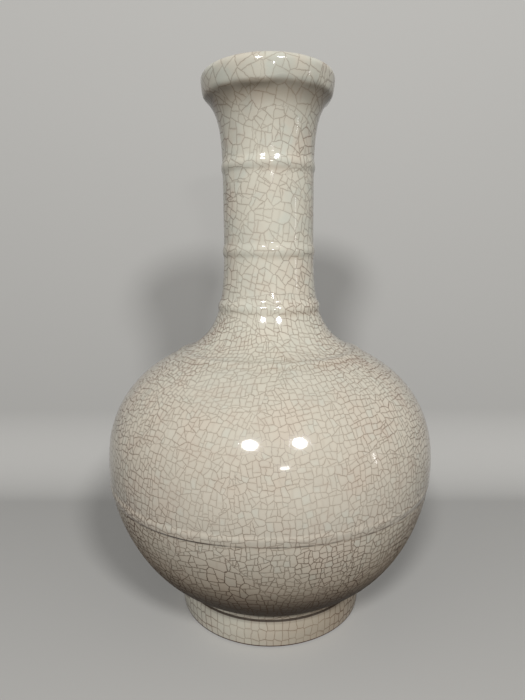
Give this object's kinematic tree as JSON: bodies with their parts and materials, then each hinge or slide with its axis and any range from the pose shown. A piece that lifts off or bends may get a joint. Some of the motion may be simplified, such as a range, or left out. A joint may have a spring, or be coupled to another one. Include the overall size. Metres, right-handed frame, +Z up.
{
  "type": "bowstring vase",
  "caption": "Tall-necked round vase on a foot ring, with a rolled mouth rim and raised clay cords round neck, shoulder and belly, in crackled pale glaze.",
  "frame": {"origin": "middle of the flat face of the foot ring that the vase stands on", "axes": "+Z up along the axis of the vase; the vase is round, so +X and +Y are free"},
  "size_m": [0.202, 0.202, 0.3285],
  "materials": {
    "crackle_glaze": "glossy pale beige glaze with a fine brown and grey crackle",
    "foot_glaze": "glossy pale glaze with an upright crackle, bare dark brown clay at the rest edge"
  },
  "bodies": {
    "root": {"foot_ring": "foot_glaze", "lower_body": "crackle_glaze", "upper_body": "crackle_glaze", "neck": "crackle_glaze", "mouth_rim": "crackle_glaze", "belly_string": "crackle_glaze", "shoulder_string": "crackle_glaze", "neck_string_lower": "crackle_glaze", "neck_string_middle": "crackle_glaze", "neck_string_upper": "crackle_glaze"}
  },
  "joints": []
}
